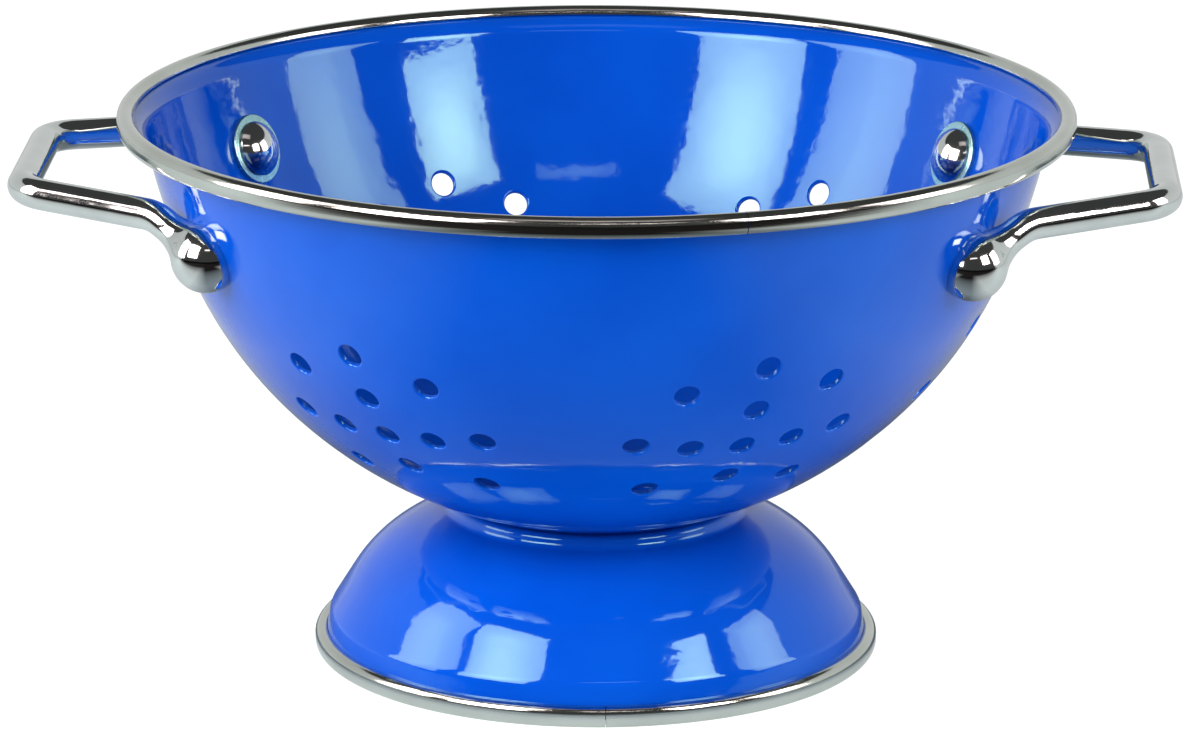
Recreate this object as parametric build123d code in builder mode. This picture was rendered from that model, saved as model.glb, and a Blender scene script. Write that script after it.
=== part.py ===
from build123d import *
import os
from math import cos, radians, sin, sqrt, tan

# Enamelled colander on a pedestal foot, built as its separate pieces.
# The origin is on the floor under the middle of the foot, +Z is up and the two handles lie along X.
# Lengths are in millimetres and angles in degrees.

# Enamelled steel sheet of the bowl and the foot
sheet = 1.1

# Bowl, measured on its outer face from the middle of the base up to the lip
base_height = 27.85
base_radius = 9.3
base_curve = 60.0
lower_side_curve = 91.6
upper_side_curve = 85.0
shoulder_curve = 157.0
shoulder_rise = 1.2
lip_bend = 2.9
lip_length = 2.6
base_end_slope = 21.0
lower_side_end_slope = 47.3
upper_side_end_slope = 67.6
shoulder_end_slope = 77.0
lip_slope = 15.0

# Drain holes: six stars round the side and a smaller one in the base
hole_diameter = 4.9
star_radius = 21.3
star_inner_radius = 10.6
base_star_radius = 13.0
base_star_inner_radius = 6.5
star_reach = 9.0
star_count = 6
star_slope = 50.5
first_star_azimuth = 26.1
star_points = 8
star_inner_points = 4

# Bright trim strips clinched over the lip of the bowl and the edge of the foot
strip = 0.45
clinch_gap = 0.05
rim_band_width = 3.5
rim_band_height = 4.3
rim_lip_tail = 0.7
foot_band_width = 3.2
foot_band_height = 4.4
foot_land_depth = 0.2
seam_gap = 0.15
seam_azimuth = 19.2
foot_seam_azimuth = 4.0

# Foot, measured on its upper and outer face from under the bowl down to the edge
weld_gap = 0.03
flange_start_slope = 11.8
flange_end_slope = 17.6
collar_bend = 1.4
collar_drop = 0.3
collar_fillet = 1.5
foot_shoulder_curve = 29.4
foot_edge_level = 2.6
foot_skirt_bend = 4.0
foot_skirt_length = 3.9
foot_edge_bend = 0.7
foot_edge_length = 0.8
collar_slope = 83.0
foot_shoulder_slope = 12.0
foot_side_slope = 58.0
foot_skirt_slope = 80.0

# Handles: a round rod that swells into a domed pad at each end
rod_radius = 3.1
rod_bend = 9.5
pad_radius = 6.9
pad_stand_off = 0.9
pad_neck_curve = 11.0
pad_gap = 0.03
pad_azimuth = 31.0
pad_slope = 71.6
arm_bend_x = 84.5
arm_bend_y = 37.2
arm_bend_rise = 69.15
grip_x = 112.2
grip_y = 23.5
grip_rise = 70.45

# Rivets and the washers under their heads
shank_radius = 2.2
shank_gap = 0.04
shank_depth = 5.0
head_radius = 5.7
head_edge = 0.5
head_height = 3.4
washer_radius = 7.25
washer_thickness = 1.2
washer_gap = 0.03

# Extra length that carries every cut clear of the faces it passes through
overrun = 2.0


def walk(start, heading, steps, side=0.0):
    """Return point, heading, radius or length and turn of each step along a bent sheet.

    Each step is a length with no turn or a radius with a turn. A positive side gives the
    face that lies that far to the left of the measured one.
    """
    x = start[0] - side * sin(radians(heading))
    z = start[1] + side * cos(radians(heading))
    track = []
    for size, turn in steps:
        before = radians(heading)
        after = radians(heading + turn)
        if turn == 0:
            track.append(((x, z), heading, size, turn))
            x, z = x + size * cos(before), z + size * sin(before)
        else:
            radius = size - side if turn > 0 else size + side
            way = 1 if turn > 0 else -1
            track.append(((x, z), heading, radius, turn))
            x = x + way * radius * (sin(after) - sin(before))
            z = z + way * radius * (cos(before) - cos(after))
        heading = heading + turn
    track.append(((x, z), heading, 0, 0))
    return track


def draw(track):
    """Draw the lines and tangent arcs of a track."""
    for (point, heading, size, turn), following in zip(track, track[1:]):
        if turn == 0:
            Line(point, following[0])
        else:
            direction = (cos(radians(heading)), sin(radians(heading)))
            JernArc(start=point, tangent=direction, radius=size, arc_size=turn)


def draw_sheet(start, heading, steps, thickness):
    """Draw the closed outline of a bent sheet from its measured face and the face behind it."""
    near = walk(start, heading, steps)
    far = walk(start, heading, steps, thickness)
    draw(near)
    draw(far)
    Line(near[0][0], far[0][0])
    Line(near[-1][0], far[-1][0])


def draw_filled(side):
    """Draw the outline of all that lies inside one face of the bowl, up to the shoulder's end."""
    track = walk(bowl_start, 0, bowl_steps[:bowl_shoulder_steps], side)
    draw(track)
    top = track[-1][0]
    Line(top, (0, top[1]))
    Line((0, top[1]), track[0][0])


def station(slope):
    """Return the point of the bowl's outer face where the side has risen to this slope."""
    for (x, z), heading, radius, turn in walk(bowl_start, 0, bowl_steps):
        if turn > 0 and heading <= slope <= heading + turn:
            start = radians(heading)
            end = radians(slope)
            return x + radius * (sin(end) - sin(start)), z + radius * (cos(start) - cos(end))


def wall_plane(azimuth, slope, off=0.0):
    """Return a plane on the bowl's wall, its z axis pointing straight out of the wall.

    The azimuth is measured from +X towards +Y. The plane stands off the outer face by off.
    """
    radius, height = station(slope)
    around = Vector(cos(radians(azimuth)), sin(radians(azimuth)), 0)
    outward = around * sin(radians(slope)) - Vector(0, 0, 1) * cos(radians(slope))
    level = Vector(-around.Y, around.X, 0)
    return Plane(around * radius + Vector(0, 0, height) + outward * off, x_dir=level, z_dir=outward)


def star_holes(outer_radius, inner_radius):
    """Draw one star of drain holes: a centre hole, a cross of four and a ring of eight."""
    Circle(hole_diameter / 2)
    with PolarLocations(inner_radius, star_inner_points):
        Circle(hole_diameter / 2)
    with PolarLocations(outer_radius, star_points):
        Circle(hole_diameter / 2)


def from_front(azimuth):
    """Turn an azimuth counted from the front towards +X into one counted from +X towards +Y."""
    return azimuth - 90


bowl_start = (0, base_height)
bowl_steps = [
    (base_radius, 0),
    (base_curve, base_end_slope),
    (lower_side_curve, lower_side_end_slope - base_end_slope),
    (upper_side_curve, upper_side_end_slope - lower_side_end_slope),
    (shoulder_curve, shoulder_end_slope - upper_side_end_slope),
    (shoulder_rise, 0),
    (lip_bend, lip_slope - shoulder_end_slope),
    (lip_length, 0),
]
bowl_shoulder_steps = 6

fastener_azimuths = {
    "right_back": pad_azimuth,
    "left_back": 180 - pad_azimuth,
    "left_front": 180 + pad_azimuth,
    "right_front": -pad_azimuth,
}

# Punches for all the drain holes and the rivet holes of the bowl
with BuildPart() as punches:
    for place in range(star_count):
        azimuth = from_front(first_star_azimuth + place * 360 / star_count)
        with BuildSketch(wall_plane(azimuth, star_slope)):
            star_holes(star_radius, star_inner_radius)
        extrude(amount=star_reach, both=True)
    with BuildSketch(Plane.XY.offset(base_height - overrun)):
        star_holes(base_star_radius, base_star_inner_radius)
    extrude(amount=sheet + 3 * overrun)
    for azimuth in fastener_azimuths.values():
        with BuildSketch(wall_plane(azimuth, pad_slope, overrun)):
            Circle(shank_radius + shank_gap)
        extrude(amount=-(sheet + 2 * overrun))

# Bowl: one bent sheet turned round the axis, then pierced
with BuildPart() as bowl:
    with BuildSketch(Plane.XZ):
        with BuildLine():
            draw_sheet(bowl_start, 0, bowl_steps, sheet)
        make_face()
    revolve(axis=Axis.Z)
    add(punches.part, mode=Mode.SUBTRACT)
bowl.part.label = "bowl"

# Rim trim band: a hollow strip whose mouth grips the bowl's lip, cut by its butt seam
lip_near = walk(bowl_start, 0, bowl_steps)[-1][0]
lip_far = walk(bowl_start, 0, bowl_steps, sheet)[-1][0]
rim_band_radius = (lip_near[0] + lip_far[0]) / 2 - rim_lip_tail * cos(radians(lip_slope))
rim_band_level = (lip_near[1] + lip_far[1]) / 2 - rim_lip_tail * sin(radians(lip_slope))
with BuildPart() as bowl_rim_band:
    with BuildSketch(Plane.XZ):
        with Locations((rim_band_radius, rim_band_level)):
            SlotOverall(rim_band_height, rim_band_width, rotation=90)
            SlotOverall(
                rim_band_height - 2 * strip,
                rim_band_width - 2 * strip,
                rotation=90,
                mode=Mode.SUBTRACT,
            )
            Rectangle(
                rim_band_width,
                sheet + 2 * clinch_gap,
                rotation=lip_slope,
                align=(Align.MAX, Align.CENTER),
                mode=Mode.SUBTRACT,
            )
    revolve(axis=Axis.Z)
    with BuildSketch(Plane.XY.rotated((0, 0, from_front(seam_azimuth))).offset(rim_band_level)):
        with Locations((rim_band_radius, 0)):
            Rectangle(rim_band_width + overrun, seam_gap)
    extrude(amount=rim_band_height, both=True, mode=Mode.SUBTRACT)
bowl_rim_band.part.label = "bowl_rim_band"

# Foot: one bent sheet from the flange under the bowl, over the collar and shoulder, to its edge
base_centre = (base_radius, base_height + base_curve)
flange_curve = base_curve + weld_gap
foot_start = (
    base_centre[0] + flange_curve * sin(radians(flange_start_slope)),
    base_centre[1] - flange_curve * cos(radians(flange_start_slope)),
)


def foot_steps(side_length):
    """Return the steps of the foot for a given length of its straight side."""
    return [
        (flange_curve, flange_end_slope - flange_start_slope),
        (collar_bend, -collar_slope - flange_end_slope),
        (collar_drop, 0),
        (collar_fillet, collar_slope - foot_shoulder_slope),
        (foot_shoulder_curve, foot_shoulder_slope - foot_side_slope),
        (side_length, 0),
        (foot_skirt_bend, foot_side_slope - foot_skirt_slope),
        (foot_skirt_length, 0),
        (foot_edge_bend, foot_skirt_slope),
        (foot_edge_length, 0),
    ]


# The straight side is as long as it takes to bring the foot's edge down to its level
edge_without_side = walk(foot_start, flange_start_slope, foot_steps(0))[-1][0]
foot_side_length = (edge_without_side[1] - foot_edge_level) / sin(radians(foot_side_slope))
foot_track = walk(foot_start, flange_start_slope, foot_steps(foot_side_length))
foot_edge = foot_track[-1][0]
foot_skirt_end = foot_track[-3][0]

with BuildPart() as foot:
    with BuildSketch(Plane.XZ):
        with BuildLine():
            draw_sheet(foot_start, flange_start_slope, foot_steps(foot_side_length), -sheet)
        make_face()
    revolve(axis=Axis.Z)
foot.part.label = "foot"

# Foot trim band: the same strip round the foot's edge, with a narrow land to stand on
foot_band_level = foot_band_height / 2 - foot_land_depth
foot_band_radius = foot_edge[0] - foot_edge_length
with BuildPart() as foot_rim_band:
    with BuildSketch(Plane.XZ):
        with Locations((foot_band_radius, foot_band_level)):
            SlotOverall(foot_band_height, foot_band_width, rotation=90)
            SlotOverall(
                foot_band_height - 2 * strip,
                foot_band_width - 2 * strip,
                rotation=90,
                mode=Mode.SUBTRACT,
            )
        with Locations((foot_skirt_end[0] + clinch_gap, foot_edge[1] - sheet - clinch_gap)):
            Rectangle(foot_band_width, foot_band_height, align=(Align.MAX, Align.MIN), mode=Mode.SUBTRACT)
        with Locations((foot_band_radius, 0)):
            Rectangle(foot_band_width, foot_land_depth, align=(Align.CENTER, Align.MAX), mode=Mode.SUBTRACT)
    revolve(axis=Axis.Z)
    with BuildSketch(Plane.XY.rotated((0, 0, from_front(foot_seam_azimuth))).offset(foot_band_level)):
        with Locations((foot_band_radius, 0)):
            Rectangle(foot_band_width + overrun, seam_gap)
    extrude(amount=foot_band_height, both=True, mode=Mode.SUBTRACT)
foot_rim_band.part.label = "foot_rim_band"

# The bowl filled up, grown by the gap of what lies against its outside
with BuildPart() as bowl_filled:
    with BuildSketch(Plane.XZ):
        with BuildLine():
            draw_filled(-pad_gap)
        make_face()
    revolve(axis=Axis.Z)

# The hollow of the bowl, less the gap of what lies against its inside
with BuildPart() as bowl_hollow:
    with BuildSketch(Plane.XZ):
        with BuildLine():
            draw_filled(sheet + washer_gap)
        make_face()
    revolve(axis=Axis.Z)


def rounded_path(corners, radius):
    """Draw straight lines through the corners, each corner rounded by a tangent arc."""
    start = corners[0]
    for before, corner, after in zip(corners, corners[1:], corners[2:]):
        back = (before - corner).normalized()
        onward = (after - corner).normalized()
        reach = radius / tan(radians(back.get_angle(onward)) / 2)
        Line(start, corner + back * reach)
        TangentArc(corner + back * reach, corner + onward * reach, tangent=-back)
        start = corner + onward * reach
    Line(start, corners[-1])


def handle_corners(side):
    """Return the corner points of a handle's centre line, from its back pad to its front pad."""
    azimuth = pad_azimuth if side > 0 else 180 - pad_azimuth
    halves = []
    for end in (1, -1):
        pad = wall_plane(end * azimuth, pad_slope, pad_stand_off).origin
        bend = Vector(side * arm_bend_x, end * arm_bend_y, base_height + arm_bend_rise)
        grip = Vector(side * grip_x, end * grip_y, base_height + grip_rise)
        halves.append([pad, bend, grip])
    return halves[0] + halves[1][::-1]


def make_handle(name, side):
    """Build one handle; the side is 1 for the right one and -1 for the left one."""
    corners = handle_corners(side)
    neck_length = sqrt((pad_radius + pad_neck_curve) ** 2 - (rod_radius + pad_neck_curve) ** 2)
    touch_share = pad_radius / (pad_radius + pad_neck_curve)
    touch = (neck_length * touch_share, (rod_radius + pad_neck_curve) * touch_share)
    with BuildPart() as handle:
        with BuildLine() as centre_line:
            rounded_path(corners, rod_bend)
        with BuildSketch(Plane(corners[0], z_dir=corners[1] - corners[0])):
            Circle(rod_radius)
        sweep(path=centre_line.wires()[0])
        for pad, bend in ((corners[0], corners[1]), (corners[-1], corners[-2])):
            along = (bend - pad).normalized()
            across = along.cross(Vector(0, 0, 1)).normalized()
            with BuildSketch(Plane(pad, x_dir=along, z_dir=across)):
                with BuildLine():
                    ThreePointArc((-pad_radius, 0), (0, pad_radius), touch)
                    RadiusArc(touch, (neck_length, rod_radius), pad_neck_curve)
                    Line((neck_length, rod_radius), (neck_length, 0))
                    Line((neck_length, 0), (-pad_radius, 0))
                make_face()
            revolve(axis=Axis(pad, along))
        add(bowl_filled.part, mode=Mode.SUBTRACT)
        for azimuth in (pad_azimuth, -pad_azimuth):
            turned = azimuth if side > 0 else 180 - azimuth
            with BuildSketch(wall_plane(turned, pad_slope, -overrun)):
                Circle(shank_radius + shank_gap)
            extrude(amount=overrun + shank_depth + shank_gap, mode=Mode.SUBTRACT)
    handle.part.label = name
    return handle.part


def make_washer(name, azimuth):
    """Build a washer, its back fitted to the inside of the bowl's wall and its face flat."""
    with BuildPart() as washer:
        with BuildSketch(wall_plane(azimuth, pad_slope, -sheet - washer_thickness)):
            Circle(washer_radius)
            Circle(shank_radius + shank_gap, mode=Mode.SUBTRACT)
        extrude(amount=washer_thickness + overrun)
        add(bowl_hollow.part, mode=Mode.INTERSECT)
    washer.part.label = name
    return washer.part


def make_rivet(name, azimuth):
    """Build a rivet: its domed head on the washer and its shank through to the handle's pad."""
    seat = wall_plane(azimuth, pad_slope, -sheet - washer_thickness - washer_gap)
    with BuildPart() as rivet:
        with BuildSketch(Plane(seat.origin, x_dir=seat.x_dir, z_dir=seat.x_dir.cross(-seat.z_dir))):
            with BuildLine():
                Line((0, 0), (head_radius, 0))
                Line((head_radius, 0), (head_radius, head_edge))
                ThreePointArc((head_radius, head_edge), head_shoulder, (0, head_height))
                Line((0, head_height), (0, 0))
            make_face()
        revolve(axis=Axis(seat.origin, seat.z_dir))
        with BuildSketch(seat):
            Circle(shank_radius)
        extrude(amount=washer_gap + washer_thickness + sheet + shank_depth)
    rivet.part.label = name
    return rivet.part


# The dome of a rivet head passes through a point at half its breadth
dome_rise = head_height - head_edge
dome_curve = (head_radius**2 + dome_rise**2) / (2 * dome_rise)
head_shoulder = (head_radius / 2, head_height - dome_curve + sqrt(dome_curve**2 - (head_radius / 2) ** 2))

handles = [make_handle("handle_left", -1), make_handle("handle_right", 1)]
washers = [make_washer("washer_" + where, azimuth) for where, azimuth in fastener_azimuths.items()]
rivets = [make_rivet("rivet_" + where, azimuth) for where, azimuth in fastener_azimuths.items()]

os.makedirs("parts", exist_ok=True)
for piece in [bowl.part, bowl_rim_band.part, foot.part, foot_rim_band.part] + handles + washers + rivets:
    export_step(piece, "parts/" + piece.label + ".step")
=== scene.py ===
from math import acos, asin, atan2, cos, pi, radians, sin, sqrt, tan

import bpy
import numpy as np
from mathutils import Euler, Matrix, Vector
from mathutils.geometry import delaunay_2d_cdt


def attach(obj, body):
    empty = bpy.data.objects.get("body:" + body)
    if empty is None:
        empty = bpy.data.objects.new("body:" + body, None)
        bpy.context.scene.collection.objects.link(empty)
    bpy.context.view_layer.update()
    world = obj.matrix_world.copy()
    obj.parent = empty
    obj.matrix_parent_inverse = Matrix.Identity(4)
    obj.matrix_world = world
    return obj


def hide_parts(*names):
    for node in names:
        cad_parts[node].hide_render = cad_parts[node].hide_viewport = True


# Enamelled colander on a pedestal foot. Sizes are in millimetres, as in the part's source,
# and every mesh is scaled to metres when it is made.
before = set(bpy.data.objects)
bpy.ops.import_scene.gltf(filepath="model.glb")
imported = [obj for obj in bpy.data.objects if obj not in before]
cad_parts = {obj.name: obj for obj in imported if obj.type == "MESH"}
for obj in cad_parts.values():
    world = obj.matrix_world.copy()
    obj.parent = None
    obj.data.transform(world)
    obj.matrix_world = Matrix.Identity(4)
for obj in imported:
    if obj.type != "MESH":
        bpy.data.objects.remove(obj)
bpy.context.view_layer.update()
MM = 0.001

# Sheet, bowl and foot. A step is a bend's radius and turn in degrees, or a straight length and 0.
sheet = 1.1
base_height = 27.85
bowl_steps = [(9.3, 0), (60.0, 21.0), (91.6, 26.3), (85.0, 20.3), (157.0, 9.4),
              (1.2, 0), (2.9, -62.0), (2.6, 0)]
weld_gap = 0.03
flange_start_slope, flange_end_slope = 11.8, 17.6
collar_bend, collar_slope = 1.4, 83.0
foot_shoulder_steps = [(0.3, 0), (1.5, 71.0), (29.4, -46.0)]
foot_side_slope = 58.0
foot_edge_steps = [(4.0, -22.0), (3.9, 0), (0.7, 80.0), (0.8, 0)]
foot_edge_level = 2.6

# Drain holes, in stars made of rings (radius, number of holes)
hole_radius = 2.45
hole_edge = 0.42
star_rings = [(0.0, 1), (10.6, 4), (21.3, 8)]
base_star_rings = [(0.0, 1), (6.5, 4), (13.0, 8)]
star_count = 6
star_slope = 50.5
first_star_azimuth = 26.1

# Trim bands
strip = 0.45
rim_band = dict(radius=93.27, level=109.336, width=3.5, height=4.3)
rim_mouth_slope, rim_mouth_play = 15.0, 0.06
foot_band = dict(radius=55.14, level=2.0, width=3.2, height=4.4)
foot_strip_low, foot_strip_top = pi + 0.12 - 2 * pi, pi / 2 + 0.45
seam_gap = 0.15
rim_seam_azimuth = 19.2
foot_seam_azimuth = 4.0

# Handles
rod_radius = 3.1
rod_bend = 9.5
pad_radius = 6.9
pad_stand_off = 0.9
pad_neck_curve = 11.0
pad_gap = 0.03
pad_azimuth = 31.0
pad_slope = 71.6
arm_bend = (84.5, 37.2, 97.0)
grip = (112.2, 23.5, 98.3)

# Washers and rivets; their skirts are cut to the wall
washer_radius, washer_thickness, washer_gap = 7.25, 1.2, 0.03
washer_bore, washer_bore_mouth, washer_bore_depth = 2.24, 2.4, 0.05
washer_edge, washer_flat_inset, washer_edge_level, washer_skirt = 0.3, 0.4, 0.2, 0.6
head_radius, head_edge, head_height = 5.7, 0.5, 3.4
head_blend, head_blend_share, head_blend_drop, head_blend_lift = 0.35, 0.6, 0.12, 0.1
head_seat_level, head_seat_inset, head_seat_normal = 0.05, 0.06, (0.5, -0.8)
shank_radius, shank_shown = 2.2, 1.0

# How finely the meshes are divided
sharp_bend = 8
bowl_row_gap = 1.15
foot_row_gap, foot_fine_gap = 0.9, 0.15
sector_points, sector_margin = 72, 6
base_limit = 20.0
star_margin = 2.2
hole_points = 40
hole_steps = np.linspace(0, pi / 2, 6)
clear_of_edge = 0.55
base_spot_gap = (1.5, 1.3)
base_spot_margin, base_spot_clear = 1.2, 0.5
foot_points = 480
band_points = 721
strip_points = 90
rod_points = 96
fastener_points = 120
arc_points = 26
pad_rows, neck_rows, neck_joint_gap = 64, 26, 0.4
dome_rows, blend_rows, washer_edge_rows = 40, 7, 8
pole_radius = 0.0005
same_point = 1e-9


# Profiles of the bent sheets

def corners_of(start, heading, steps):
    """Start point, heading and length of each step of a bent sheet's measured face."""
    x, z = start
    rows = []
    for size, turn in steps:
        length = size if turn == 0 else size * abs(radians(turn))
        rows.append((x, z, heading, size, turn, length))
        before, after = radians(heading), radians(heading + turn)
        if turn == 0:
            x, z = x + size * cos(before), z + size * sin(before)
        else:
            way = 1 if turn > 0 else -1
            x = x + way * size * (sin(after) - sin(before))
            z = z + way * size * (cos(before) - cos(after))
        heading += turn
    rows.append((x, z, heading, 1.0, 0, 0.0))
    return rows


class Profile:
    """The measured face of a bent sheet, read by its length along the sheet."""

    def __init__(self, start, heading, steps):
        self.rows = corners_of(start, heading, steps)
        self.ends = np.cumsum([row[5] for row in self.rows[:-1]])
        self.length = self.ends[-1]

    def at(self, s, off=0.0):
        """Radius, height and heading at each length s, off millimetres to the right of the face."""
        s = np.clip(np.asarray(s, float), 0, self.length)
        index = np.minimum(np.searchsorted(self.ends, s, side="left"), len(self.ends) - 1)
        x, z, heading, size, turn, length = np.array(self.rows)[index].T
        along = s - (self.ends[index] - length)
        heading = np.radians(heading)
        way = np.sign(turn)
        now = heading + np.where(turn == 0, 0, way * along / size)
        px = np.where(turn == 0, x + along * np.cos(heading),
                      x + way * size * (np.sin(now) - np.sin(heading)))
        pz = np.where(turn == 0, z + along * np.sin(heading),
                      z + way * size * (np.cos(heading) - np.cos(now)))
        return px + off * np.sin(now), pz - off * np.cos(now), now

    def stations(self, spacing, start=0.0, fine=0.25):
        """Lengths along the sheet from start on, closer together where it bends sharply."""
        marks = [start]
        for row, end in zip(self.rows, self.ends):
            if end <= start:
                continue
            begin = max(end - row[5], start)
            gap = fine if row[4] != 0 and row[3] < sharp_bend else spacing
            count = max(1, int(round((end - begin) / gap)))
            marks += list(np.linspace(begin, end, count + 1)[1:])
        return np.array(marks)


bowl_profile = Profile((0.0, base_height), 0.0, bowl_steps)


def foot_profile():
    """The foot's upper face; its straight side takes up the height that is left."""
    curve = bowl_steps[1][0]
    centre = (bowl_steps[0][0], base_height + curve)
    reach = curve + weld_gap
    slope = radians(flange_start_slope)
    start = (centre[0] + reach * sin(slope), centre[1] - reach * cos(slope))
    flange = [(reach, flange_end_slope - flange_start_slope),
              (collar_bend, -collar_slope - flange_end_slope)]

    def with_side(side):
        steps = flange + foot_shoulder_steps + [(side, 0)] + foot_edge_steps
        return Profile(start, flange_start_slope, steps)

    trial_side = 0.001
    drop = with_side(trial_side).rows[-1][1] - foot_edge_level
    return with_side(drop / sin(radians(foot_side_slope)))


# Meshes

class Skin:
    """Collects points, normals and faces, and makes them into one smooth object."""

    def __init__(self):
        self.points, self.normals, self.faces, self.count = [], [], [], 0

    def add(self, points, normals):
        """Keep points with their normals; gives their numbers."""
        points = np.asarray(points, float).reshape(-1, 3)
        normals = np.asarray(normals, float).reshape(-1, 3)
        self.points.append(points)
        self.normals.append(normals / np.linalg.norm(normals, axis=1, keepdims=True))
        first = self.count
        self.count += len(points)
        return np.arange(first, self.count)

    def bridge(self, near, far, closed=True):
        """Quads between two rows of points of the same length."""
        count = len(near) if closed else len(near) - 1
        for i in range(count):
            j = (i + 1) % len(near)
            self.faces.append((int(near[i]), int(near[j]), int(far[j]), int(far[i])))

    def rows(self, grid, closed=True):
        """Quads between each row of points and the next."""
        for near, far in zip(grid, grid[1:]):
            self.bridge(near, far, closed)

    def make(self, name, slot, material, nodes):
        """The object, in place of the named nodes of the frame."""
        points = np.concatenate(self.points) * MM
        normals = np.concatenate(self.normals)
        mesh = bpy.data.meshes.new(name)
        mesh.from_pydata(points.tolist(), [], self.turned_faces(points, normals))
        mesh.polygons.foreach_set("use_smooth", [True] * len(mesh.polygons))
        mesh.normals_split_custom_set_from_vertices(normals.tolist())
        mesh.materials.append(material)
        piece = bpy.data.objects.new(name, mesh)
        bpy.context.scene.collection.objects.link(piece)
        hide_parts(*nodes)
        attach(piece, "root")

    def turned_faces(self, points, normals):
        """The faces, each wound so that it faces the way its points' normals do."""
        turned = []
        for size in (3, 4):
            faces = np.array([face for face in self.faces if len(face) == size], int).reshape(-1, size)
            corner = points[faces]
            facing = np.cross(corner[:, 2] - corner[:, 0], corner[:, -1] - corner[:, 1])
            wrong = (facing * normals[faces].sum(1)).sum(1) < 0
            faces[wrong] = faces[wrong, ::-1]
            turned += faces.tolist()
        return turned


def full_turn(count):
    """Angles at equal steps round a full circle."""
    return np.arange(count) * 2 * pi / count


def around_axis(radius, height, slope_x, slope_z, azimuths):
    """Points and normals of one ring turned round the Z axis."""
    ca, sa = np.cos(azimuths), np.sin(azimuths)
    points = np.stack([radius * ca, radius * sa, height + 0 * azimuths], -1)
    normals = np.stack([slope_x * ca, slope_x * sa, slope_z + 0 * azimuths], -1)
    return points, normals


def lathe(skin, outline, azimuths, closed_ring):
    """Turn a closed outline of (radius, height, normal x, normal z) rows round the Z axis."""
    grid = [skin.add(*around_axis(r, z, nx, nz, azimuths)) for r, z, nx, nz in outline]
    skin.rows(grid, closed_ring)
    skin.bridge(grid[-1], grid[0], closed_ring)


def half_round(from_point, to_point, heading, count=8):
    """Outline rows of a sheet's rounded edge, between the ends of its two faces."""
    middle = ((from_point[0] + to_point[0]) / 2, (from_point[1] + to_point[1]) / 2)
    half = np.hypot(from_point[0] - middle[0], from_point[1] - middle[1])
    start = atan2(from_point[1] - middle[1], from_point[0] - middle[0])
    outward = atan2(sin(heading), cos(heading))
    turn = 1 if sin(outward - start) > 0 else -1
    rows = []
    for i in range(1, count):
        angle = start + turn * pi * i / count
        rows.append((middle[0] + half * cos(angle), middle[1] + half * sin(angle), cos(angle), sin(angle)))
    return rows


def sheet_outline(profile, marks, side):
    """Closed outline of a bent sheet; side is 1 where the sheet lies left of its measured face."""
    near = [(r, z, side * sin(h), -side * cos(h)) for r, z, h in zip(*profile.at(marks))]
    far = [(r, z, -side * sin(h), side * cos(h)) for r, z, h in zip(*profile.at(marks, -side * sheet))]
    last = profile.at([marks[-1]])[2][0]
    first = profile.at([marks[0]])[2][0]
    rows = near + half_round(near[-1], far[-1], last)
    rows += far[::-1] + half_round(far[0], near[0], first + pi)
    return rows


# The bowl's wall as a surface

def bowl_length_at(slope):
    """Length along the bowl's profile where its wall reaches a slope."""
    for row, end in zip(bowl_profile.rows, bowl_profile.ends):
        if row[4] > 0 and row[2] <= slope <= row[2] + row[4]:
            return end - row[5] + row[3] * radians(slope - row[2])


def wall_frame(azimuth, slope):
    """Origin, level direction, uphill direction, outward normal and length of a place on the wall."""
    s = bowl_length_at(slope)
    r, z, h = (float(v[0]) for v in bowl_profile.at([s]))
    around = np.array([cos(azimuth), sin(azimuth), 0])
    level = np.array([-sin(azimuth), cos(azimuth), 0])
    outward = around * sin(h) - np.array([0, 0, 1]) * cos(h)
    uphill = around * cos(h) + np.array([0, 0, 1]) * sin(h)
    return around * r + np.array([0, 0, z]), level, uphill, outward, s


def wall_gap(points, s_guess, off=0.0):
    """How far points lie outside the wall's face, and the wall's normal and length next to them."""
    search_rounds = 12
    s = np.array(s_guess, float) + np.zeros(len(points))
    rho = np.hypot(points[:, 0], points[:, 1])
    for _ in range(search_rounds):
        r, z, h = bowl_profile.at(s, off)
        s = s + ((rho - r) * np.cos(h) + (points[:, 2] - z) * np.sin(h))
    r, z, h = bowl_profile.at(s, off)
    gap = (rho - r) * np.sin(h) - (points[:, 2] - z) * np.cos(h)
    out = np.stack([points[:, 0] / rho * np.sin(h), points[:, 1] / rho * np.sin(h), -np.cos(h)], -1)
    return gap, out, s


def drop_to_wall(points, direction, s_guess, off):
    """Move points along a direction until they meet the wall's face at an offset."""
    drop_rounds = 10
    s = s_guess
    for _ in range(drop_rounds):
        gap, out, s = wall_gap(points, s, off)
        points = points - direction * (gap / (out @ direction))[:, None]
    gap, out, s = wall_gap(points, s, off)
    return points, out, s


def hole_rings(skin, centre, level, uphill, outward, s_guess):
    """The rounded outer edge, the bore and the rounded inner edge of one punched hole.

    Gives the loops where they meet the two faces, as point numbers, and the azimuths
    and lengths up the wall of the outer loop's points.
    """
    turn = np.linspace(0, 2 * pi, hole_points, endpoint=False)
    radial = np.cos(turn)[:, None] * level + np.sin(turn)[:, None] * uphill
    grid, places = [], None
    for face, way in ((0.0, 1), (-sheet, -1)):
        rings = []
        for t in hole_steps:
            reach = hole_radius + hole_edge * (1 - sin(t))
            depth = hole_edge * (1 - cos(t))
            points, out, s = drop_to_wall(centre + radial * reach, outward, s_guess, face)
            if t == 0 and way == 1:
                places = (np.arctan2(points[:, 1], points[:, 0]), s)
            points = points - way * depth * outward
            rings.append(skin.add(points, way * cos(t) * out - sin(t) * radial))
        grid.append(rings)
    skin.rows(grid[0] + grid[1][::-1])
    return grid[0][0], grid[1][0], places


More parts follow.
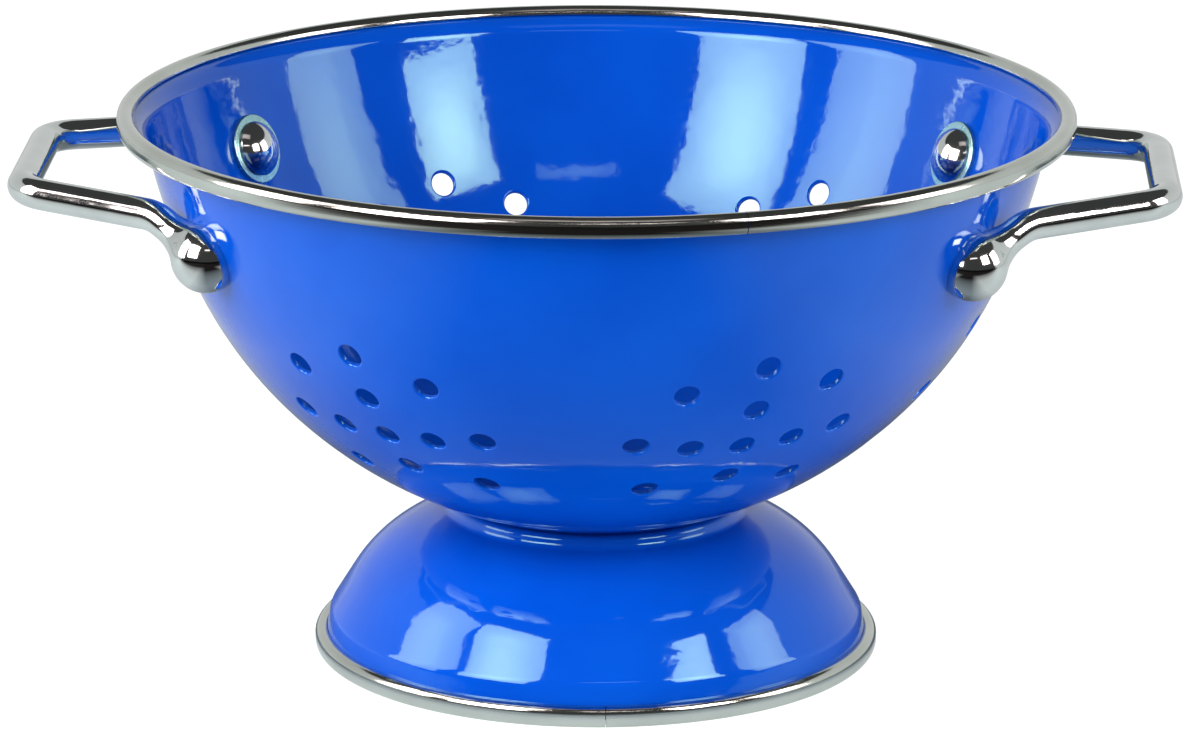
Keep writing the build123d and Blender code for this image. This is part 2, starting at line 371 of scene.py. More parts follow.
def fill_between(loose, loops):
    """Triangles over loose points and round hole loops, in the flat plan of the wall."""
    flat = [Vector(p) for p in loose]
    edges, owner = [], [-1] * len(loose)
    for number, loop in enumerate(loops):
        first = len(flat)
        flat += [Vector(p) for p in loop]
        owner += [number] * len(loop)
        edges += [(first + i, first + (i + 1) % len(loop)) for i in range(len(loop))]
    out = delaunay_2d_cdt(flat, edges, [], 0, same_point, True)
    source = [ids[0] for ids in out[3]]
    keep = []
    for face in out[2]:
        ids = [source[i] for i in face]
        holes = {owner[i] for i in ids}
        if len(holes) > 1 or -1 in holes:
            keep.append(ids)
    return keep


def star_places(rings):
    """Places of a star's holes, to the side and uphill of its middle."""
    places = []
    for radius, count in rings:
        if count == 1:
            places.append((0.0, 0.0))
            continue
        places += [(radius * cos(turn), radius * sin(turn)) for turn in full_turn(count)]
    return places


def add_faces(skin, outer, inner, faces):
    """The same triangles on the outer and on the inner face."""
    for a, b, c in faces:
        skin.faces.append((int(outer[a]), int(outer[b]), int(outer[c])))
        skin.faces.append((int(inner[c]), int(inner[b]), int(inner[a])))


def both_faces(skin, azimuths, lengths):
    """Points on the outer and inner face at the same places on the wall."""
    numbers = []
    for off, way in ((0.0, 1), (-sheet, -1)):
        r, z, h = bowl_profile.at(lengths, off)
        points = np.stack([r * np.cos(azimuths), r * np.sin(azimuths), z], -1)
        normals = np.stack([np.sin(h) * np.cos(azimuths), np.sin(h) * np.sin(azimuths), -np.cos(h)], -1)
        numbers.append(skin.add(points, way * normals))
    return numbers


def clear_places(places, loops, from_edge, from_middle):
    """Which places lie clear of the hole loops and of their middles."""
    clear = np.ones(len(places), bool)
    for loop in loops:
        if from_edge > 0:
            for point in loop[::2]:
                clear &= np.hypot(*(places - point).T) > from_edge
        clear &= np.hypot(*(places - loop.mean(0)).T) > from_middle
    return clear


def centred(angles):
    """Angles brought to between minus and plus half a turn."""
    return (angles + pi) % (2 * pi) - pi


def add_lip(skin, outer, inner, azimuths):
    """The rounded edge that joins the two faces at the end of the bowl's lip."""
    edge_steps = 6
    near = [float(v[0]) for v in bowl_profile.at([bowl_profile.length])]
    far = [float(v[0]) for v in bowl_profile.at([bowl_profile.length], -sheet)]
    rows = [outer]
    for r, z, nx, nz in half_round(near[:2], far[:2], near[2], edge_steps):
        rows.append(skin.add(*around_axis(r, z, nx, nz, azimuths)))
    skin.rows(rows + [inner])


def add_side_stars(skin, outer, inner, marks, azimuths, low, high):
    """The stars in the bowl's side, and the wall round them between the rows low and high."""
    total = len(azimuths)
    radius = float(bowl_profile.at([bowl_length_at(star_slope)])[0][0])
    for sector in range(star_count):
        azimuth = azimuths[0] + pi / star_count + sector * 2 * pi / star_count
        origin, level, uphill, outward, s0 = wall_frame(azimuth, star_slope)
        start, end = sector * sector_points, (sector + 1) * sector_points
        span = [i % total for i in range(start + sector_margin, end - sector_margin + 1)]
        between = [i % total for i in range(end - sector_margin, end + sector_margin + 1)]
        for part in (outer, inner):
            skin.rows([part[k][between] for k in range(low, high + 1)], closed=False)
        loops, edges_out, edges_in = [], [], []
        for a, b in star_places(star_rings):
            middle = origin + a * level + b * uphill
            loop_out, loop_in, (turned, s) = hole_rings(skin, middle, level, uphill, outward, s0 + b)
            loops.append(np.stack([centred(turned - azimuth) * radius, s - s0], -1))
            edges_out += list(loop_out)
            edges_in += list(loop_in)
        if sector == 0:
            spots = [(k, n) for k in range(low, high + 1) for n in range(len(span))]
            places = np.array([(centred(azimuths[span[n]] - azimuth) * radius, marks[k] - s0)
                               for k, n in spots])
            kept = np.flatnonzero(clear_places(places, loops, clear_of_edge, hole_radius + hole_edge))
            triangles = fill_between(places[kept].tolist(), [loop.tolist() for loop in loops])
        numbers_out = [outer[spots[g][0]][span[spots[g][1]]] for g in kept] + edges_out
        numbers_in = [inner[spots[g][0]][span[spots[g][1]]] for g in kept] + edges_in
        add_faces(skin, numbers_out, numbers_in, triangles)


def add_base_star(skin, outer, inner, azimuths):
    """The star in the bowl's flat base, and the base round it out to the first ring."""
    least_guess = 0.5
    loops, edges_out, edges_in = [], [], []
    level, uphill, outward = np.array([1.0, 0, 0]), np.array([0, -1.0, 0]), -np.array([0, 0, 1.0])
    for a, b in star_places(base_star_rings):
        middle = np.array([a, b, base_height])
        s_guess = max(least_guess, np.hypot(a, b))
        loop_out, loop_in, (turned, s) = hole_rings(skin, middle, level, uphill, outward, s_guess)
        loops.append(np.stack([s * np.cos(turned), s * np.sin(turned)], -1))
        edges_out += list(loop_out)
        edges_in += list(loop_in)
    wide, high = base_spot_gap
    columns, rows = int(base_limit / wide) + 1, int(base_limit / high)
    spots = [(x * wide + (y % 2) * wide / 2, y * high)
             for x in range(-columns, columns + 1) for y in range(-rows, rows + 1)]
    spots = np.array([p for p in spots if np.hypot(*p) < base_limit - base_spot_margin])
    spots = spots[clear_places(spots, loops, 0, hole_radius + hole_edge + base_spot_clear)]
    extra = both_faces(skin, np.arctan2(spots[:, 1], spots[:, 0]), np.hypot(spots[:, 0], spots[:, 1]))
    border = np.stack([base_limit * np.cos(azimuths), base_limit * np.sin(azimuths)], -1)
    triangles = fill_between(spots.tolist() + border.tolist(), [loop.tolist() for loop in loops])
    numbers_out = list(extra[0]) + list(outer) + edges_out
    numbers_in = list(extra[1]) + list(inner) + edges_in
    add_faces(skin, numbers_out, numbers_in, triangles)


def make_bowl():
    """The bowl: a grid of rings, with the rows round the stars and the base filled in by triangles."""
    skin = Skin()
    marks = bowl_profile.stations(bowl_row_gap, base_limit)
    first = radians(first_star_azimuth - 90) - pi / star_count
    azimuths = first + full_turn(sector_points * star_count)
    pairs = [both_faces(skin, azimuths, np.full(len(azimuths), s)) for s in marks]
    outer, inner = [pair[0] for pair in pairs], [pair[1] for pair in pairs]
    add_lip(skin, outer[-1], inner[-1], azimuths)
    middle = bowl_length_at(star_slope)
    reach = star_rings[-1][0] + hole_radius + star_margin
    low = int(np.searchsorted(marks, middle - reach) - 1)
    high = int(np.searchsorted(marks, middle + reach))
    for part in (outer, inner):
        skin.rows(part[: low + 1])
        skin.rows(part[high:])
    add_side_stars(skin, outer, inner, marks, azimuths, low, high)
    add_base_star(skin, outer[0], inner[0], azimuths)
    return skin


def make_foot():
    """The foot: its outline turned once round."""
    skin = Skin()
    profile = foot_profile()
    outline = sheet_outline(profile, profile.stations(foot_row_gap, fine=foot_fine_gap), -1)
    lathe(skin, outline, full_turn(foot_points), True)
    return skin


# Trim bands

def stadium(width, height, start, end):
    """Points and outward normals round a strip's section, from one angle to another, anticlockwise."""
    radius = width / 2
    straight = height / 2 - radius
    rows = []
    for angle in np.linspace(start, end, strip_points):
        nx, nz = cos(angle), sin(angle)
        rows.append((radius * nx, radius * nz + (straight if nz >= 0 else -straight), nx, nz))
    return rows


def strip_outline(band, outer_rows, inner_rows, flat=None):
    """Closed outline of a folded strip with rounded edges; flat is the level that it stands on."""
    edge_steps = 6

    def place(rows, way):
        placed = []
        for x, z, nx, nz in rows:
            level = band["level"] + z
            if flat is not None and level < flat:
                level, nx, nz = flat, 0.0, -1.0
            placed.append((band["radius"] + x, level, way * nx, way * nz))
        return placed

    near, far = place(outer_rows, 1), place(inner_rows, -1)
    tip = atan2(near[-1][1] - near[-2][1], near[-1][0] - near[-2][0])
    tail = atan2(near[0][1] - near[1][1], near[0][0] - near[1][0])
    rows = near + half_round(near[-1], far[-1], tip, edge_steps)
    rows += far[::-1] + half_round(far[0], near[0], tail, edge_steps)
    return rows


def make_band(outline, seam_azimuth):
    """Turn a strip's outline round the axis from one side of its butt seam to the other."""
    skin = Skin()
    radius = max(row[0] for row in outline)
    start = radians(seam_azimuth - 90) + seam_gap / 2 / radius
    end = start + 2 * pi - seam_gap / radius
    azimuths = np.linspace(start, end, band_points)
    lathe(skin, outline, azimuths, False)
    for end_number, way in ((0, -1), (-1, 1)):
        angle = azimuths[end_number]
        face = np.array([-sin(angle), cos(angle), 0]) * way
        ring = np.array([[r * cos(angle), r * sin(angle), z] for r, z, nx, nz in outline])
        numbers = skin.add(ring, np.tile(face, (len(ring), 1)))
        last = len(ring) - 1
        for i in range(len(ring) // 2):
            if i + 1 < last - 1 - i:
                skin.faces.append(tuple(int(numbers[k]) for k in (i, i + 1, last - 1 - i, last - i)[::-way]))
    return skin


def rim_outline():
    """The rim band's outline, open towards the lip that it holds."""
    half = sheet / 2 + rim_mouth_play
    mouth = pi + radians(rim_mouth_slope)
    rows = []
    for inset in (0, 2 * strip):
        width, height = rim_band["width"] - inset, rim_band["height"] - inset
        opening = asin(half / (width / 2))
        rows.append(stadium(width, height, mouth + opening - 2 * pi, mouth - opening))
    return strip_outline(rim_band, *rows)


def foot_outline():
    """The foot band's outline, open inward, with a flat land to stand on."""
    rows = [stadium(foot_band["width"] - inset, foot_band["height"] - inset, foot_strip_low, foot_strip_top)
            for inset in (0, 2 * strip)]
    return strip_outline(foot_band, *rows, flat=0.0)


# Handles, washers and rivets

def bent_path(corners, bend):
    """Straight runs joined by arcs.

    A run is ("run", start, direction, length), an arc ("arc", centre, arm, side, angle).
    """
    pieces, here = [], corners[0]
    for before, corner, after in zip(corners, corners[1:], corners[2:]):
        back = (before - corner) / np.linalg.norm(before - corner)
        onward = (after - corner) / np.linalg.norm(after - corner)
        between = acos(float(back @ onward))
        reach = bend / tan(between / 2)
        enter, leave = corner + back * reach, corner + onward * reach
        pieces.append(("run", here, -back, np.linalg.norm(enter - here)))
        middle = (back + onward) / np.linalg.norm(back + onward)
        centre = corner + middle * bend / sin(between / 2)
        pieces.append(("arc", centre, enter - centre, -back, pi - between))
        here = leave
    last = corners[-1] - here
    length = np.linalg.norm(last)
    pieces.append(("run", here, last / length, length))
    return pieces


def path_rows(corners):
    """Points and directions along the handle's centre line, with each one's distance from its start."""
    rows, total = [], 0.0
    pieces = bent_path(corners, rod_bend)
    for kind, *piece in pieces:
        if kind == "run":
            start, direction, length = piece
            for t in np.linspace(0, length, max(2, int(length)) + 1)[:-1]:
                rows.append((start + direction * t, direction, total + t))
            total += length
        else:
            centre, arm, side, angle = piece
            for t in np.linspace(0, angle, arc_points + 1)[:-1]:
                point = centre + arm * cos(t) + side * rod_bend * sin(t)
                way = -arm / rod_bend * sin(t) + side * cos(t)
                rows.append((point, way, total + t * rod_bend))
            total += angle * rod_bend
    rows.append((corners[-1], pieces[-1][2], total))
    return rows, total


def pad_outline():
    """Distance along the arm, radius and forward slope of the domed pad and its neck."""
    neck = sqrt((pad_radius + pad_neck_curve) ** 2 - (rod_radius + pad_neck_curve) ** 2)
    touch = asin(neck / (pad_radius + pad_neck_curve))
    rows = []
    for t in np.linspace(-pi / 2, touch, pad_rows):
        rows.append((pad_radius * sin(t), max(pad_radius * cos(t), pole_radius), sin(t)))
    for t in np.linspace(touch, 0, neck_rows)[1:]:
        rows.append((neck - pad_neck_curve * sin(t), rod_radius + pad_neck_curve * (1 - cos(t)), sin(t)))
    return rows, neck


def make_handle(side):
    """One handle: a round rod swollen into a pad at each end, with the pads cut to the wall."""
    skin = Skin()
    azimuth = radians(pad_azimuth if side > 0 else 180 - pad_azimuth)
    halves = []
    for end in (1, -1):
        origin, _, _, outward, _ = wall_frame(end * azimuth, pad_slope)
        halves.append([origin + outward * pad_stand_off,
                       np.array([side * arm_bend[0], end * arm_bend[1], arm_bend[2]]),
                       np.array([side * grip[0], end * grip[1], grip[2]])])
    corners = halves[0] + halves[1][::-1]
    rows, total = path_rows(corners)
    pad, neck = pad_outline()
    joint = neck + neck_joint_gap
    start_way, end_way = rows[0][1], rows[-1][1]
    stations = [(corners[0] + start_way * x, start_way, r, forward) for x, r, forward in pad]
    stations += [(point, way, rod_radius, 0.0) for point, way, d in rows if joint < d < total - joint]
    stations += [(corners[-1] - end_way * x, end_way, r, -forward) for x, r, forward in pad[::-1]]
    turn = full_turn(rod_points)
    across = np.cross(start_way, [0, 0, 1.0])
    across /= np.linalg.norm(across)
    grid = []
    for point, way, radius, forward in stations:
        across = across - way * (across @ way)
        across /= np.linalg.norm(across)
        up = np.cross(way, across)
        radial = np.cos(turn)[:, None] * across + np.sin(turn)[:, None] * up
        normals = radial * sqrt(max(0.0, 1 - forward**2)) + way * forward
        points = point + radial * radius
        gap, wall_out, _ = wall_gap(points, bowl_length_at(pad_slope), pad_gap)
        behind = gap < 0
        points[behind] -= wall_out[behind] * gap[behind][:, None]
        grid.append(skin.add(points, normals))
    skin.rows(grid)
    return skin


def make_fastener(azimuth, outline, inside_off):
    """Turn rows of (radius, height, normal out, normal up) round the wall's normal, into the bowl."""
    skin = Skin()
    origin, level, uphill, outward, s0 = wall_frame(azimuth, pad_slope)
    seat = origin - outward * inside_off
    turn = full_turn(fastener_points)
    radial = np.cos(turn)[:, None] * level + np.sin(turn)[:, None] * uphill
    grid = []
    for r, height, nr, nh in outline:
        points = seat + radial * r - outward * height
        gap, wall_out, _ = wall_gap(points, s0, -sheet - washer_gap)
        through = gap > 0
        points[through] -= wall_out[through] * gap[through][:, None]
        grid.append(skin.add(points, radial * nr - outward * nh))
    skin.rows(grid)
    return skin


def washer_outline():
    """Bore, flat top, rounded edge and skirt of a washer."""
    flat = washer_radius - washer_edge
    rows = [(washer_bore, -washer_skirt, -1, 0), (washer_bore, washer_thickness - washer_bore_depth, -1, 0),
            (washer_bore_mouth, washer_thickness, 0, 1), (flat - washer_flat_inset, washer_thickness, 0, 1)]
    for t in np.linspace(0, pi / 2, washer_edge_rows):
        level = washer_thickness - washer_edge + washer_edge * cos(t)
        rows.append((flat + washer_edge * sin(t), level, sin(t), cos(t)))
    rows += [(washer_radius, washer_edge_level, 1, 0), (washer_radius, -washer_skirt, 1, 0)]
    return rows


def rivet_outline():
    """Dome, blended edge and seat of a rivet's head, and the start of its shank."""
    rise = head_height - head_edge
    curve = (head_radius**2 + rise**2) / (2 * rise)
    limit = asin(head_radius / curve)
    rows = [(pole_radius, head_height, 0, 1)]
    for t in np.linspace(0, limit, dome_rows)[1:]:
        r, h = curve * sin(t), head_height - curve + curve * cos(t)
        if r < head_radius - head_blend * head_blend_share:
            rows.append((r, h, sin(t), cos(t)))
    inset = head_radius - head_blend
    for t in np.linspace(limit, pi / 2, blend_rows):
        h = head_edge - head_blend_drop + head_blend * (cos(t) - cos(limit)) + head_blend_lift
        rows.append((inset + head_blend * sin(t), h, sin(t), cos(t)))
    rows += [(head_radius, head_seat_level, 1, 0), (head_radius - head_seat_inset, 0.0, *head_seat_normal),
             (shank_radius, 0.0, 0, -1), (shank_radius, -shank_shown, 1, 0)]
    return rows


# Nodes

def node(tree, kind, **settings):
    made = tree.nodes.new(kind)
    for key, value in settings.items():
        setattr(made, key, value)
    return made


def link(tree, out, into):
    tree.links.new(out, into)


def noise(tree, vector, scale, detail, rough=0.5):
    made = node(tree, "ShaderNodeTexNoise")
    made.inputs["Scale"].default_value = scale
    made.inputs["Detail"].default_value = detail
    made.inputs["Roughness"].default_value = rough
    link(tree, vector, made.inputs["Vector"])
    return made.outputs["Fac"]


def ramp(tree, value, stops):
    """A colour between two stops of (position, colour)."""
    made = node(tree, "ShaderNodeValToRGB")
    for element, (position, colour) in zip(made.color_ramp.elements, stops):
        element.position = position
        element.color = (*colour, 1.0)
    link(tree, value, made.inputs["Fac"])
    return made.outputs["Color"]


def fit_range(tree, value, low, high, to_low, to_high):
    """A value taken from one range to another."""
    made = node(tree, "ShaderNodeMapRange")
    for key, number in (("From Min", low), ("From Max", high), ("To Min", to_low), ("To Max", to_high)):
        made.inputs[key].default_value = number
    link(tree, value, made.inputs["Value"])
    return made.outputs["Result"]


def maths(tree, operation, a, b=None):
    """One sum of two values, each a number or a socket."""
    made = node(tree, "ShaderNodeMath", operation=operation)
    for socket, value in zip(made.inputs, (a, b)):
        if value is None:
            continue
        if isinstance(value, (int, float)):
            socket.default_value = value
        else:
            link(tree, value, socket)
    return made.outputs[0]


def bump(tree, height, strength, distance, before=None):
    made = node(tree, "ShaderNodeBump")
    made.inputs["Strength"].default_value = strength
    made.inputs["Distance"].default_value = distance
    link(tree, height, made.inputs["Height"])
    if before is not None:
        link(tree, before, made.inputs["Normal"])
    return made.outputs["Normal"]


# Materials

noise_low, noise_high = 0.3, 0.7


def new_material(name):
    """A material, its nodes, its shader and the object's own coordinates."""
    material = bpy.data.materials.new(name)
    material.use_nodes = True
    tree = material.node_tree
    place = node(tree, "ShaderNodeTexCoord").outputs["Object"]
    return material, tree, tree.nodes["Principled BSDF"], place


def enamel_material(name):
    """Deep blue glass enamel: glossy, a little cloudy in colour, with a soft ripple and pinholes."""
    material, tree, shader, place = new_material(name)
    shader.inputs["IOR"].default_value = 1.6
    shader.inputs["Specular Tint"].default_value = (0.48, 1.0, 0.72, 1.0)
    cloud = noise(tree, place, scale=38.0, detail=3.0)
    blues = [(noise_low, (0.0002, 0.061, 0.485)), (noise_high, (0.0006, 0.077, 0.55))]
    link(tree, ramp(tree, cloud, blues), shader.inputs["Base Color"])
    fine = noise(tree, place, scale=900.0, detail=2.0)
    link(tree, fit_range(tree, fine, noise_low, noise_high, 0.03, 0.075), shader.inputs["Roughness"])
    ripple = noise(tree, place, scale=160.0, detail=2.0)
    pits = noise(tree, place, scale=1500.0, detail=1.0)
    waved = bump(tree, ripple, strength=0.05, distance=0.0012)
    link(tree, bump(tree, pits, strength=0.012, distance=0.0003, before=waved), shader.inputs["Normal"])
    return material


def drawn_material(name, tint, rough):
    """Rolled stainless strip: fine lines drawn along its length, and a cloudy tone."""
    material, tree, shader, place = new_material(name)
    shader.inputs["Metallic"].default_value = 1.0
    split = node(tree, "ShaderNodeSeparateXYZ")
    link(tree, place, split.inputs[0])
    x, y, z = (split.outputs[axis] for axis in "XYZ")
    angle = maths(tree, "ARCTAN2", y, x)
    squares = maths(tree, "ADD", maths(tree, "MULTIPLY", x, x), maths(tree, "MULTIPLY", y, y))
    join = node(tree, "ShaderNodeCombineXYZ")
    link(tree, maths(tree, "MULTIPLY", angle, 0.0012), join.inputs["X"])
    link(tree, maths(tree, "SQRT", squares), join.inputs["Y"])
    link(tree, z, join.inputs["Z"])
    lines = noise(tree, join.outputs[0], scale=6500.0, detail=3.0, rough=0.6)
    cloud = noise(tree, place, scale=60.0, detail=3.0)
    dark = tuple(c * 0.9 for c in tint)
    link(tree, ramp(tree, cloud, [(0.35, dark), (0.65, tint)]), shader.inputs["Base Color"])
    varied = fit_range(tree, lines, noise_low, noise_high, rough * 0.7, rough * 1.3)
    link(tree, varied, shader.inputs["Roughness"])
    link(tree, bump(tree, lines, strength=0.12, distance=0.0001), shader.inputs["Normal"])
    return material


def plated_material(name, tint, rough):
    """Bright plating over polished steel: faint haze, a slight wave and fine polishing marks."""
    material, tree, shader, place = new_material(name)
    shader.inputs["Metallic"].default_value = 1.0
    haze = noise(tree, place, scale=120.0, detail=4.0)
    marks = noise(tree, place, scale=2600.0, detail=2.0)
    dark = tuple(c * 0.88 for c in tint)
    link(tree, ramp(tree, haze, [(noise_low, dark), (noise_high, tint)]), shader.inputs["Base Color"])
    varied = fit_range(tree, haze, noise_low, noise_high, rough * 0.6, rough * 1.4)
    link(tree, varied, shader.inputs["Roughness"])
    wave = noise(tree, place, scale=240.0, detail=1.0)
    waved = bump(tree, wave, strength=0.06, distance=0.0006)
    link(tree, bump(tree, marks, strength=0.02, distance=0.0001, before=waved), shader.inputs["Normal"])
    return material


# The object

enamel = enamel_material("blue_enamel")
trim = drawn_material("drawn_stainless_trim", tint=(0.62, 0.67, 0.62), rough=0.11)
chrome = plated_material("bright_plate", tint=(0.74, 0.80, 0.78), rough=0.08)
washer_plate = plated_material("blued_washer_plate", tint=(0.36, 0.64, 0.62), rough=0.24)

make_bowl().make("bowl_enamelled", "enamel", enamel, ["bowl"])
make_foot().make("foot_enamelled", "enamel", enamel, ["foot"])
make_band(rim_outline(), rim_seam_azimuth).make("rim_trim_strip", "trim", trim, ["bowl_rim_band"])
make_band(foot_outline(), foot_seam_azimuth).make("foot_trim_strip", "trim", trim, ["foot_rim_band"])
for name, side in (("handle_left", -1), ("handle_right", 1)):
    make_handle(side).make(name + "_plated", "handle_plate", chrome, [name])
fastener_azimuths = {"right_back": pad_azimuth, "left_back": 180 - pad_azimuth,
                     "left_front": 180 + pad_azimuth, "right_front": -pad_azimuth}
for where, azimuth in fastener_azimuths.items():
    washer = make_fastener(radians(azimuth), washer_outline(), sheet)
    washer.make("washer_" + where + "_plated", "fastener", washer_plate, ["washer_" + where])
    rivet = make_fastener(radians(azimuth), rivet_outline(), sheet + washer_thickness + washer_gap)
    rivet.make("rivet_" + where + "_plated", "fastener", chrome, ["rivet_" + where])


# Floor and backdrop, in metres

floor_reach = 6.0
floor_paint = (0.20, 0.27, 0.28)
# Painted shade: the floor's colour in front of the shade edge, which mirrors show as shaded floor.
painted_shade_paint = (0.01, 0.01, 0.01)
# Painted shade: in front of this Y, towards the camera, the floor's paint turns dark, so mirrors show a
# shaded floor there. Mirrors see its glow in these ranges of X (either side), of Y and of the length of the
# reflected ray: painted shade under and before the object, and a painted reflection of lit floor close to
# what touches it.
painted_shade_edge, painted_shade_fade = -0.13, 0.08
mirror_beside = (0.07, 0.13)
mirror_ahead = (painted_shade_edge - painted_shade_fade - 0.14, painted_shade_edge + painted_shade_fade - 0.10)
mirror_touching = (0.006, 0.012)
screen_radius, screen_height = 3.6, 2.6
screen_start, screen_sweep, screen_panels = -12, 204, 48
screen_paint = (0.3, 0.3, 0.3)


def stage_mesh(name, points, faces, material):
    mesh = bpy.data.meshes.new(name)
    mesh.from_pydata(points, [], faces)
    mesh.materials.append(material)
    for polygon in mesh.polygons:
        polygon.use_smooth = True
    thing = bpy.data.objects.new(name, mesh)
    bpy.context.scene.collection.objects.link(thing)


def pale_material(name, paint_colour, to_camera, to_gloss, to_diffuse, paints_shade):
    """Pale paint that also glows evenly, by its own amount to each kind of ray.

    Where it paints shade, the paint is dark in front of the shade edge, a painted shade that mirrors show
    under and before the object, and mirrors see the glow only beside the object and close to what touches
    the floor, a painted reflection of lit floor there.
    """
    material = bpy.data.materials.new(name)
    material.use_nodes = True
    tree = material.node_tree
    tree.nodes.clear()
    path = node(tree, "ShaderNodeLightPath")
    mirrored = maths(tree, "MAXIMUM", path.outputs["Is Glossy Ray"], path.outputs["Is Transmission Ray"])
    paint = node(tree, "ShaderNodeBsdfDiffuse")
    paint.inputs["Color"].default_value = (*paint_colour, 1)
    camera_glow = to_camera
    if paints_shade:
        split = node(tree, "ShaderNodeSeparateXYZ")
        link(tree, node(tree, "ShaderNodeTexCoord").outputs["Object"], split.inputs[0])
        # Painted shade and painted reflection: mirrors see the glow only beside the object or past the shade
        # edge ahead, and close to what touches the floor.
        beside = fit_range(tree, maths(tree, "ABSOLUTE", split.outputs["X"]), *mirror_beside, 0.0, 1.0)
        ahead = fit_range(tree, split.outputs["Y"], *mirror_ahead, 0.0, 1.0)
        touching = fit_range(tree, path.outputs["Ray Length"], *mirror_touching, 1.0, 0.0)
        shown = maths(tree, "MAXIMUM", maths(tree, "MULTIPLY", beside, ahead), touching)
        mirrored = maths(tree, "MULTIPLY", mirrored, shown)
        # Painted shade: in front of the shade edge the paint turns dark for mirrors, while the camera still
        # sees the floor glow white there.
        fade_start, fade_end = painted_shade_edge - painted_shade_fade, painted_shade_edge + painted_shade_fade
        behind = fit_range(tree, split.outputs["Y"], fade_start, fade_end, 0.0, 1.0)
        link(tree, ramp(tree, behind, [(0.0, painted_shade_paint), (1.0, paint_colour)]), paint.inputs["Color"])
        camera_glow = fit_range(tree, behind, 0.0, 1.0, 1.0, to_camera)
    glow = maths(tree, "ADD", maths(tree, "MULTIPLY", path.outputs["Is Camera Ray"], camera_glow),
                 maths(tree, "MULTIPLY", mirrored, to_gloss))
    glow = maths(tree, "ADD", glow, maths(tree, "MULTIPLY", path.outputs["Is Diffuse Ray"], to_diffuse))
    light = node(tree, "ShaderNodeEmission")
    link(tree, glow, light.inputs["Strength"])
    both = node(tree, "ShaderNodeAddShader")
    link(tree, paint.outputs[0], both.inputs[0])
    link(tree, light.outputs[0], both.inputs[1])
    out = node(tree, "ShaderNodeOutputMaterial")
    link(tree, both.outputs[0], out.inputs["Surface"])
    return material


def make_floor():
    far = floor_reach
    corners = [(-far, -far, 0), (far, -far, 0), (far, far, 0), (-far, far, 0)]
    # The floor carries painted shade in front of the object and a painted reflection of lit floor next to
    # what touches it.
    stage_mesh("floor", corners, [(0, 1, 2, 3)], pale_material(
        "floor_white", floor_paint, to_camera=0.92, to_gloss=0.5, to_diffuse=1.0, paints_shade=True))


def make_backdrop():
    """A curved screen behind and beside the object, open towards the camera."""
    points, faces = [], []
    for i in range(screen_panels + 1):
        angle = radians(screen_start + i * screen_sweep / screen_panels)
        for height in (0.0, screen_height):
            points.append((screen_radius * cos(angle), screen_radius * sin(angle), height))
    for i in range(screen_panels):
        faces.append((2 * i, 2 * i + 2, 2 * i + 3, 2 * i + 1))
    stage_mesh("backdrop", points, faces, pale_material(
        "backdrop_white", screen_paint, to_camera=1.0, to_gloss=0.5, to_diffuse=0.4, paints_shade=False))


# World, lamps and camera, in metres and degrees. A lamp has a range of azimuths, a range of
# elevations, a distance, and its brightness in the middle and at the border.

world_strength = 0.05
lamp_colour = (1.0, 0.82, 0.82, 1)
lamp_target = Vector((0, 0, 0.06))
hump_peak = 16.0
lamp_falloff = 1.6
lamps = [
    ("softbox_left", (-60, -26), (11, 46), 0.95, 16.2, 8.2),
    ("softbox_right", (36, 59), (16, 39), 0.95, 17.0, 9.5),
    ("panel_left", (-96, -67), (4, 44), 1.1, 7.2, 5.2),
    ("panel_right", (72, 96), (7, 37), 1.1, 6.2, 4.2),
    ("strip_over_camera", (-5, 22), (36, 39.5), 1.1, 2.6, 1.6),
    ("high_front", (-40, 40), (62, 78), 1.2, 0.7, 0.4),
]
camera_place = (0.04395, -1.2585, 0.4006)
camera_tilt, camera_turn, camera_roll = 90 - 15.254, 1.966, 0.128
camera_lens, camera_sensor, camera_clip = 195.41, 36.0, (0.01, 50.0)


def make_world():
    world = bpy.data.worlds.new("studio")
    bpy.context.scene.world = world
    world.use_nodes = True
    background = world.node_tree.nodes["Background"]
    background.inputs["Color"].default_value = (1, 1, 1, 1)
    background.inputs["Strength"].default_value = world_strength


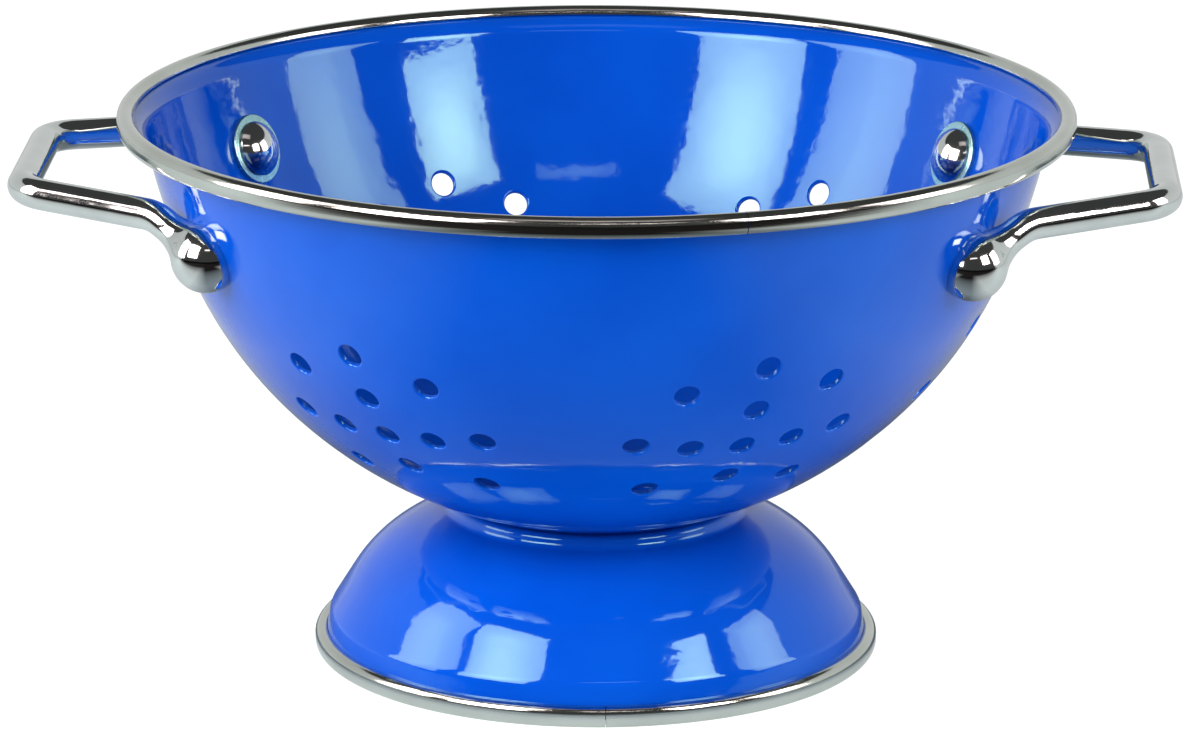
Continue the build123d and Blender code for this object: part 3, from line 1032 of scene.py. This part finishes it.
def make_softbox(name, azimuths, elevations, distance, middle_level, border_level):
    """A soft lamp that fills a range of directions, seen from the object."""
    data = bpy.data.lights.new(name, "AREA")
    data.shape = "RECTANGLE"
    wide, high = radians(azimuths[1] - azimuths[0]), radians(elevations[1] - elevations[0])
    azimuth, elevation = radians(sum(azimuths) / 2), radians(sum(elevations) / 2)
    data.size = 2 * distance * tan(wide / 2) * cos(elevation)
    data.size_y = 2 * distance * tan(high / 2)
    data.energy = pi * data.size * data.size_y
    data.use_nodes = True
    tree = data.node_tree
    split = node(tree, "ShaderNodeSeparateXYZ")
    link(tree, node(tree, "ShaderNodeNewGeometry").outputs["Parametric"], split.inputs[0])
    humps = [maths(tree, "MULTIPLY", split.outputs[axis], maths(tree, "SUBTRACT", 1.0, split.outputs[axis]))
             for axis in ("X", "Y")]
    core = maths(tree, "MULTIPLY", maths(tree, "MULTIPLY", humps[0], humps[1]), hump_peak)
    glow = fit_range(tree, maths(tree, "POWER", core, lamp_falloff), 0.0, 1.0, border_level, middle_level)
    emission = tree.nodes["Emission"]
    link(tree, glow, emission.inputs["Strength"])
    emission.inputs["Color"].default_value = lamp_colour
    lamp = bpy.data.objects.new(name, data)
    way = Vector((sin(azimuth) * cos(elevation), -cos(azimuth) * cos(elevation), sin(elevation)))
    lamp.location = lamp_target + way * distance
    lamp.rotation_euler = way.to_track_quat("Z", "Y").to_euler()
    lamp.visible_camera = False
    bpy.context.scene.collection.objects.link(lamp)


def make_camera():
    data = bpy.data.cameras.new("camera")
    data.sensor_width = camera_sensor
    data.lens = camera_lens
    data.clip_start, data.clip_end = camera_clip
    camera = bpy.data.objects.new("camera", data)
    camera.location = camera_place
    aim = Euler((radians(camera_tilt), 0, radians(camera_turn)), "XYZ").to_matrix()
    roll = Euler((0, 0, radians(camera_roll)), "XYZ").to_matrix()
    camera.rotation_euler = (aim @ roll).to_euler()
    bpy.context.scene.collection.objects.link(camera)
    bpy.context.scene.camera = camera


make_floor()
make_backdrop()
make_world()
for lamp_row in lamps:
    make_softbox(*lamp_row)
make_camera()
bpy.context.scene.view_settings.view_transform = "Standard"
